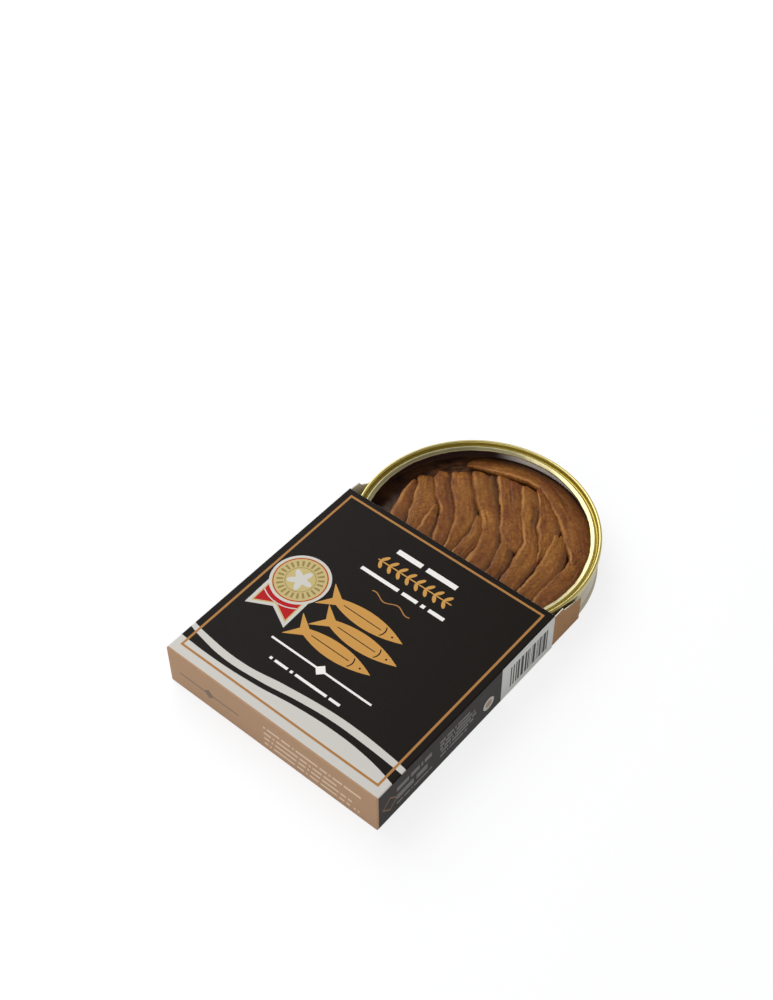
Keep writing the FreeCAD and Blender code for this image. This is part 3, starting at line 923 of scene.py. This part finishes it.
def surroundings():
    """A white room, a white floor that keeps a faint shadow, and two lamps."""
    scene = bpy.context.scene
    scene.view_settings.view_transform = "Standard"
    world = bpy.data.worlds.new("pale_room")
    world.use_nodes = True
    scene.world = world
    room = Finish.of_tree(world.node_tree)
    seen = room.add("ShaderNodeLightPath", output="Is Camera Ray")
    through = Value(room, seen.node, "Is Transmission Ray")
    mirrored = Value(room, seen.node, "Is Glossy Ray")
    where = room.add("ShaderNodeTexCoord", output="Generated")
    height = room.add("ShaderNodeSeparateXYZ", None, [where], output="Z")
    reflected = 1.0 - CEILING_SHADE * height.soft(0.25, 0.95)
    plain = seen.math("MAXIMUM", through)
    level = plain + (1 - plain) * (mirrored * reflected + (1 - mirrored) * ROOM_LIGHT)
    back = room.add("ShaderNodeBackground", None, {"Color": (1, 1, 1, 1), "Strength": level})
    room.add("ShaderNodeOutputWorld", None, {"Surface": back})

    finish = Finish("white_floor")
    path = finish.add("ShaderNodeLightPath", output="Is Camera Ray")
    seen = path.math("MAXIMUM", Value(finish, path.node, "Is Glossy Ray"))
    matt = finish.add("ShaderNodeBsdfPrincipled", None,
                      {"Base Color": FLOOR_TONE, "Roughness": 0.9})
    glow = finish.add("ShaderNodeEmission", None, {"Color": (1, 1, 1, 1), "Strength": 1.08})
    # The floor turns to plain white far away, so that its edge doesn't show.
    _, x, y, _ = finish.place()
    distant = (x * x + y * y).soft(*[reach ** 2 for reach in GLOW_FADE])
    share = seen * (FLOOR_GLOW + (1 - FLOOR_GLOW) * distant)
    both = finish.add("ShaderNodeMixShader", None, [share, matt, glow])
    finish.add("ShaderNodeOutputMaterial", None, {"Surface": both})
    start_fresh()
    bpy.ops.mesh.primitive_plane_add(size=FLOOR_SIZE, location=(0, 0, SLEEVE_LOW.z * MM))
    floor = named("floor", finish.material)
    lamp("key", (-0.6, 0.18, 0.68), 6.9)
    lamp("fill", (0.2, -0.7, 0.5), 2.2)


# ---------------------------------------------------------------- the tin

# How far the seam stands out from the can's wall, and the thickness of the tinplate.
SEAM_OUT, SHEET = 0.8, 0.3


def tin(lacquer, wall_lacquer):
    """The drawn can and its ring. Outlines are corners of a radius, a height and a rounding."""
    wall = SEAM_RADIUS - SEAM_OUT
    inside = wall - SHEET
    top = CAN_HIGH.z - TIN.z
    panel = 0.8
    can = turned_piece("tin_can", (
        (wall, top, 0.1), (wall, 3.4, 0.4), (wall - 0.15, 2.6, 0.5), (wall, 1.9, 0.4),
        (wall + 0.5, 1.3, 0.35), (wall + 0.55, 0.5, 0.35), (wall - 0.5, 0, 0.5),
        (wall - 2.6, 0, 0.3), (wall - 3.4, panel, 0.4), (wall - 12, panel, 0.3),
        (0.05, panel, 0), (0.05, panel + SHEET, 0), (wall - 12, panel + SHEET, 0.3),
        (wall - 3.6, panel + SHEET, 0.4), (wall - 2.8, SHEET, 0.3),
        (inside - 0.6, SHEET, 0.4), (inside, 1.6, 0.4), (inside, top, 0.1)), wall_lacquer)
    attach(can, "pack")
    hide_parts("can")

    chuck = SEAM_RADIUS - 1.45
    groove_floor = SEAM_TOP - 2.0
    groove = chuck - 0.9
    lip_top = SEAM_TOP - 1.1
    lip = groove - 2.25
    lip_low = lip_top - 0.7
    ring = turned_piece("tin_ring", (
        (SEAM_RADIUS, SEAM_FOOT + 0.1, 0.25), (SEAM_RADIUS, SEAM_TOP, 0.7),
        (chuck + 0.1, SEAM_TOP, 0.7), (chuck - 0.25, groove_floor, 0.35),
        (groove + 0.05, groove_floor, 0.3), (groove - 0.45, lip_top, 0.5),
        (lip, lip_low, 0.22), (lip - 0.05, lip_low - 0.5, 0.1),
        (lip + 0.3, lip_low - 0.5, 0.1), (lip + 0.3, lip_low - 0.3, 0.1),
        (groove - 0.7, lip_top - 0.5, 0.2), (groove - 0.3, groove_floor - 0.3, 0.2),
        (chuck + 0.1, groove_floor - 0.3, 0.2), (chuck + 0.35, top + 0.05, 0.1),
        (wall + 0.05, top + 0.05, 0.1), (wall + 0.05, SEAM_FOOT + 0.1, 0.1)), lacquer)
    # The torn lip is a little uneven.
    where, out, radius, turn = about_axis(ring)
    uneven_wide = 0.7
    near = held((lip + uneven_wide - radius) / uneven_wide)
    ragged = ripple(5 * np.cos(turn), 5 * np.sin(turn)) * 0.3
    ragged += ripple(20 * np.cos(turn), 20 * np.sin(turn), 5.0) * 0.14
    stretch = 1 + near * ragged / radius
    where[:, 0] = TIN.x + out[:, 0] * stretch
    where[:, 1] = TIN.y + out[:, 1] * stretch
    where[:, 2] += near * ripple(6 * np.cos(turn), 6 * np.sin(turn), 8.0) * 0.1
    moved(ring, where)
    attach(ring, "pack")
    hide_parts("lid_ring")


def oil(material):
    """The oil, with its edge drawn up a little at the wall."""
    wall = SEAM_RADIUS - 1.12
    rings, last_ring, underside = 90, 0.02, 1.3
    corners = [(wall, 0.75, 0), (wall, OIL_TOP + 0.35, 0), (wall - 0.5, OIL_TOP + 0.12, 0.2),
               (wall - 1.6, OIL_TOP, 0.4)]
    corners += [(wall * share, OIL_TOP, 0) for share in np.linspace(0.95, last_ring, rings)]
    corners += [(last_ring * wall, underside, 0), (wall - 4.6, underside, 0),
                (wall - 2.6, 0.6, 0)]
    piece = turned_piece("oil_fill", corners, material)
    where, out, radius, turn = about_axis(piece)
    surface = (where[:, 2] > TIN.z + OIL_TOP - 0.3) * held((wall - 1.0 - radius) / 3)
    swell = 0.22 * ripple(out[:, 0] * 0.16, out[:, 1] * 0.16, 4.0)
    swell += 0.08 * ripple(out[:, 0] * 0.5, out[:, 1] * 0.5, 6.0)
    # Scraps between the fillets' ends and the far wall.
    far = held((turn - 1.95) / 0.2) * held((2.9 - turn) / 0.3)
    far *= held((radius - 36) / 2)
    strand = ripple(turn * 7, radius * 0.55, 11.0) + 0.5 * ripple(turn * 20, radius * 1.1, 12.0)
    swell += far * held(0.45 + strand)
    where[:, 2] += surface * swell
    moved(piece, where)
    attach(piece, "pack")
    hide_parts("oil")


# Sides of the fillets, in millimetres from the tin's centre. A side that two fillets
# share is written once.
SIDE_A = [(-34.0, -20), (-37.5, -11), (-40.2, -2), (-41.5, 6), (-41.8, 12)]
SIDE_B = [(-22.5, -20), (-28.6, -11), (-33.9, -1.4), (-37.4, 6.3), (-40.6, 12)]
SIDE_C = [(-20.5, -20), (-23.0, -11), (-24.4, -5), (-25, 1), (-26, 6), (-29.8, 9.4),
          (-34.9, 15.2), (-37.6, 19)]
SIDE_D = [(-6, -20), (-8.2, -9.6), (-13.6, 2.5), (-17.8, 7.9), (-22.5, 13.2), (-28.5, 18),
          (-33.0, 24.5)]
SIDE_E = [(-3, -20), (-4.2, -10.5), (-5.6, 0), (-7.3, 9), (-12.4, 15.2), (-16, 19.9),
          (-22.9, 26), (-27.4, 30.5)]
SIDE_F = [(13.5, -20), (12.7, -10.4), (10.3, 0.7), (7.9, 5.8), (2.8, 11.8), (0.4, 15.8),
          (-4.4, 21), (-9.1, 26.9), (-12.5, 30.5), (-16.6, 36.2)]
SIDE_G = [(20.5, -20), (19.8, -10), (18.5, -3), (16.8, 4), (15.7, 11), (10.7, 17.4),
          (7.5, 21), (4.8, 24.1), (0, 31), (-5.6, 38.8)]
SIDE_H = [(28, -20), (27.5, -10), (26.8, 0), (26, 8.9), (23.2, 11), (19.7, 16.6),
          (14.7, 21), (13.1, 25.3), (9.5, 31), (1.8, 39.5)]

# Each row lists, for each fillet, its raised and its covered side, how tall it is, how much
# its ribs show, and, where its ends aren't the usual ones: the lengths over which they are
# rounded, the length over which the far one sinks, and the fall to the covered side.
FRONT_ENDS = ((4.0, 3.2), 6.0)
FRONT_ROW = (
    (SIDE_A, SIDE_B, 1.0, 0.3, *FRONT_ENDS),
    ([(-22.5, -20), (-28.6, -11), (-33.9, -1.4), (-37.4, 6.3), (-40.2, 11), (-41.3, 15)],
     SIDE_C, 1.03, 0.5, *FRONT_ENDS),
    ([(-11, -20), (-15.2, -10), (-20.3, 1), (-24.5, 5.5), (-29.8, 9.4), (-34.9, 15.2),
      (-37.4, 22)], SIDE_D, 1.05, 0.5, *FRONT_ENDS),
    (SIDE_D, SIDE_E, 0.97, 0.4, *FRONT_ENDS),
    ([(6, -31), (3, -20), (1.8, -10), (1.6, -2), (-0.8, 4.3), (-4.6, 9.5), (-10.5, 14.6),
      (-16, 19.9), (-22.9, 26), (-26.4, 31)], [(11.5, -31), *SIDE_F], 1.06, 1.0, *FRONT_ENDS),
    ([(12.5, 2), (7.9, 5.8), (2.8, 11.8), (0.4, 15.8), (-4.4, 21), (-9.1, 26.9),
      (-12.5, 30.5), (-16.6, 36.2)],
     [(16, 4), (15.7, 11), (10.7, 17.4), (7.5, 21), (4.8, 24.1), (0, 31), (-5.4, 39)],
     1.0, 0.5, *FRONT_ENDS),
    (SIDE_G, SIDE_H, 1.02, 0.4, *FRONT_ENDS),
    ([(27, 4), (23.2, 11), (19.7, 16.6), (14.7, 21), (13.1, 25.3), (9.5, 31), (1.6, 39.5)],
     [(28, 8), (25, 17), (24.5, 22), (22.2, 27.7), (17.5, 31), (12.7, 34.8), (7.2, 37.6),
      (1.4, 40.6)], 0.98, 0.3, *FRONT_ENDS),
)

BACK_ROW = (
    ([(-40, -27), (-39.5, -20), (-37.5, -13)], [(-34, -33), (-32, -26), (-30, -13)], 0.9, 0.3),
    ([(-34, -34), (-32, -26), (-29, -13)], [(-27, -40), (-25, -32), (-22.5, -20), (-23, -13)],
     0.92, 0.3),
    ([(-27, -40), (-25, -32), (-22, -20), (-23.1, -11), (-24.4, -5), (-24.9, 1), (-25.6, 5.3)],
     [(-17, -45), (-15.5, -34), (-13, -20), (-16, -9.6), (-18.7, -5), (-20.3, -2.3),
      (-22.9, 1), (-25.2, 6)], 1.08, 0.3),
    ([(-17, -45), (-15.5, -34), (-12.5, -22), (-10.5, -13)],
     [(-6, -48), (-4.5, -36), (-4.5, -22), (-6.5, -13)], 0.92, 0.3),
    ([(-6, -48), (-4.5, -36), (-3.5, -24), (-3.9, -10.5), (-5.7, 4.3), (-7.1, 9.5),
      (-8.2, 11.5)],
     [(5, -47), (6.5, -36), (4, -24), (1.6, -10.5), (1.2, -1), (-0.8, 4.3), (-4.4, 9.2),
      (-7.5, 12)], 1.04, 0.3),
    ([(5.5, -47), (8.5, -36), (12, -24), (12.8, -10.4), (10.5, 0.7), (8.5, 5), (9.5, 9.5)],
     [(15, -45), (18, -36), (19.5, -24), (19.1, -10), (17.1, 1), (13.5, 5.9), (11.5, 10.5)],
     1.04, 0.5),
    ([(15.5, -44), (18.5, -34), (20.0, -24), (20.5, -12)],
     [(26, -40), (27.5, -30), (27, -20), (24, -12)], 0.92, 0.3),
    ([(27, -38), (28.5, -20), (28.9, -11), (28.6, -3), (27.4, 4.3), (26.4, 9.5),
      (24.2, 19.8), (23.2, 23)],
     [(34, -33), (36, -20), (36.3, -10), (36, 0), (36.2, 8), (34.6, 13), (32, 17.4),
      (28.6, 21.4), (25, 25)], 1.04, 0.3),
)

RIM_ROW = (
    ([(-28.5, 30), (-17.8, 34.4), (-11.1, 37.2), (-4.7, 38.8), (2, 39.4), (8, 38.6)],
     [(-31.0, 33.0), (-24.7, 39.6), (-19, 42.8), (-13.3, 45.6), (-7.9, 47.2), (3, 47.6),
      (9, 46.8)], 0.86, 0.6, (12.0, 3.0), 2.0, 0.5),
    ([(38.4, 12.0), (34.2, 17.8), (27.9, 21.8), (22.2, 27.7), (17.5, 31), (12.7, 34.8),
      (7.2, 37.8), (2.4, 39.8), (0.5, 41)],
     [(44.6, 15), (41.5, 24), (36, 31.8), (29, 38.2), (20, 43.4), (10, 46.6), (1, 47.2)],
     1.0, 0.4, (5.0, 5.0), 2.0, 0.5),
    ([(32.6, -33.5), (36, -20), (36.3, -10), (36, 0), (36.4, 9), (36.0, 18.5)],
     [(34.0, -34), (43.0, -20), (46.0, -10), (47, 0), (46.4, 9), (43, 19.5)], 0.92, 0.3,
     (4.0, 2.2), 1.5, 0.45),
)


def fillets(flesh):
    """The top layer of fillets: two rows woven together and three along the wall."""
    rows = (("front", FRONT_ROW), ("back", BACK_ROW), ("rim", RIM_ROW))
    for row, (kind, sides) in enumerate(rows):
        for i, (raised, covered, tall, ribs, *ends) in enumerate(sides, start=1):
            seed = 17.0 * row + 3.1 * i
            fillet(f"fish_{kind}_{i}", raised, covered, flesh, f"fillet_{kind}_{i}",
                   tall, ribs, seed, *ends)


def dress_board():
    """Finishes for the sleeve and its two dust flaps, whose shapes stay as they are."""
    outer_face_end = LEFT_FLAP_HIGH.x - BOARD
    slope = (outer_face_end - LEFT_FLAP_LOW.x) / (LEFT_FLAP_HIGH.y - LEFT_FLAP_LOW.y)
    finishes = {
        "carton": printed_board(),
        "left_flap": flap_board("left_flap_board", slope, LEFT_FLAP_LOW.x,
                                LEFT_FLAP_LOW.y, 1.0),
        "right_flap": flap_board("right_flap_board", 0.0, SLEEVE_HIGH.x, 0.0, -1.0),
    }
    for name, material in finishes.items():
        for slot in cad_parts[name].material_slots:
            slot.material = material


camera()
surroundings()
dress_board()
tin(gold_lacquer(), can_lacquer())
oil(dark_oil())
fillets(fish_flesh())
